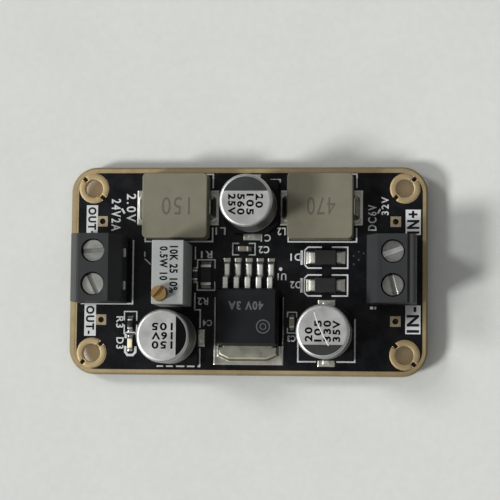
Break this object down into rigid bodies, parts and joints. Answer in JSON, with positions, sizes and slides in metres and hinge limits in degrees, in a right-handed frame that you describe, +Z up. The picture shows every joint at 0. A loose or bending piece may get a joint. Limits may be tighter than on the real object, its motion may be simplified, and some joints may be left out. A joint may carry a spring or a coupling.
{
  "type": "voltage converter board",
  "caption": "Step-down converter circuit board with screw terminals at both ends, power inductors, can capacitors, a regulator and an adjusting trimmer.",
  "frame": {"origin": "centre of the mounting holes on the underside of the board", "axes": "+X along the board to the input terminals, +Y across it to the inductors, +Z up out of the component side"},
  "size_m": [0.055, 0.032, 0.0146],
  "materials": {
    "solder_mask": "satin black solder mask",
    "gold_plate": "gold plate on copper",
    "solder": "bright solder",
    "tinned_copper": "tinned",
    "housing_plastic": "moulded, satin",
    "screw_steel": "zinc plated",
    "brass_screw": "turned",
    "trimmer_plastic": "moulded, satin",
    "iron_powder": "pressed powder, matt",
    "can_aluminium": "drawn",
    "base_plastic": "moulded",
    "mould_compound": "moulded, fine grain",
    "tan_ceramic": "fired",
    "resistor_film": "glazed film",
    "lamp_base": "moulded",
    "lamp_lens": "clear tinted"
  },
  "bodies": {
    "board": {"circuit_board": "solder_mask", "edge_rim": "gold_plate", "mounting_pads": "gold_plate", "wire_pads": "gold_plate", "component_lands": "solder", "output_terminal_housing": "housing_plastic", "input_terminal_housing": "housing_plastic", "output_contacts": "tinned_copper", "input_contacts": "tinned_copper", "output_inductor_body": "iron_powder", "output_inductor_terminals": "tinned_copper", "input_inductor_body": "iron_powder", "input_inductor_terminals": "tinned_copper", "output_capacitor_can": "can_aluminium", "output_capacitor_base": "base_plastic", "output_capacitor_terminals": "tinned_copper", "input_capacitor_can": "can_aluminium", "input_capacitor_base": "base_plastic", "input_capacitor_terminals": "tinned_copper", "middle_capacitor_can": "can_aluminium", "middle_capacitor_base": "base_plastic", "middle_capacitor_terminals": "tinned_copper", "regulator_body": "mould_compound", "regulator_tab": "tinned_copper", "regulator_leads": "tinned_copper", "upper_diode_body": "mould_compound", "upper_diode_leads": "tinned_copper", "lower_diode_body": "mould_compound", "lower_diode_leads": "tinned_copper", "trimmer_housing": "trimmer_plastic", "trimmer_pins": "tinned_copper", "large_resistor_body": "resistor_film", "large_resistor_ends": "tinned_copper", "feedback_resistor_body": "resistor_film", "feedback_resistor_ends": "tinned_copper", "lamp_resistor_body": "resistor_film", "lamp_resistor_ends": "tinned_copper", "lamp_base": "lamp_base", "lamp_lens": "lamp_lens", "lamp_ends": "tinned_copper", "upper_chip_capacitor_body": "tan_ceramic", "upper_chip_capacitor_ends": "tinned_copper", "input_chip_capacitor_body": "tan_ceramic", "input_chip_capacitor_ends": "tinned_copper", "pin_solder": "solder"},
    "output_positive_screw": {"output_positive_screw": "screw_steel"},
    "output_positive_cage": {"output_positive_cage": "tinned_copper"},
    "output_negative_screw": {"output_negative_screw": "screw_steel"},
    "output_negative_cage": {"output_negative_cage": "tinned_copper"},
    "input_positive_screw": {"input_positive_screw": "screw_steel"},
    "input_positive_cage": {"input_positive_cage": "tinned_copper"},
    "input_negative_screw": {"input_negative_screw": "screw_steel"},
    "input_negative_cage": {"input_negative_cage": "tinned_copper"},
    "trimmer_screw": {"trimmer_screw": "brass_screw"}
  },
  "joints": [
    {"name": "output_positive_screw_turn", "type": "hinge", "parent": "board", "child": "output_positive_screw", "pos_m": [-0.0226, 0.0025, 0.0016], "axis": [0, 0, -1], "range_deg": [0, 1370]},
    {"name": "output_positive_cage_lift", "type": "slide", "parent": "board", "child": "output_positive_cage", "axis": [0, 0, 1], "range_m": [0, 0.00169]},
    {"name": "output_negative_screw_turn", "type": "hinge", "parent": "board", "child": "output_negative_screw", "pos_m": [-0.0226, -0.0025, 0.0016], "axis": [0, 0, -1], "range_deg": [0, 1370]},
    {"name": "output_negative_cage_lift", "type": "slide", "parent": "board", "child": "output_negative_cage", "axis": [0, 0, 1], "range_m": [0, 0.00169]},
    {"name": "input_positive_screw_turn", "type": "hinge", "parent": "board", "child": "input_positive_screw", "pos_m": [0.02235, 0.0025, 0.0016], "axis": [0, 0, -1], "range_deg": [0, 1370]},
    {"name": "input_positive_cage_lift", "type": "slide", "parent": "board", "child": "input_positive_cage", "axis": [0, 0, 1], "range_m": [0, 0.00169]},
    {"name": "input_negative_screw_turn", "type": "hinge", "parent": "board", "child": "input_negative_screw", "pos_m": [0.02235, -0.0025, 0.0016], "axis": [0, 0, -1], "range_deg": [0, 1370]},
    {"name": "input_negative_cage_lift", "type": "slide", "parent": "board", "child": "input_negative_cage", "axis": [0, 0, 1], "range_m": [0, 0.00169]},
    {"name": "trimmer_screw_turn", "type": "hinge", "parent": "board", "child": "trimmer_screw", "pos_m": [-0.01204, -0.00406, 0.0016], "axis": [0, 0, -1], "continuous": true}
  ],
  "couplings": [
    {"joint": "output_positive_screw_turn", "follows": "output_positive_cage_lift", "rad_per_m": 13963},
    {"joint": "output_negative_screw_turn", "follows": "output_negative_cage_lift", "rad_per_m": 13963},
    {"joint": "input_positive_screw_turn", "follows": "input_positive_cage_lift", "rad_per_m": 13963},
    {"joint": "input_negative_screw_turn", "follows": "input_negative_cage_lift", "rad_per_m": 13963}
  ]
}
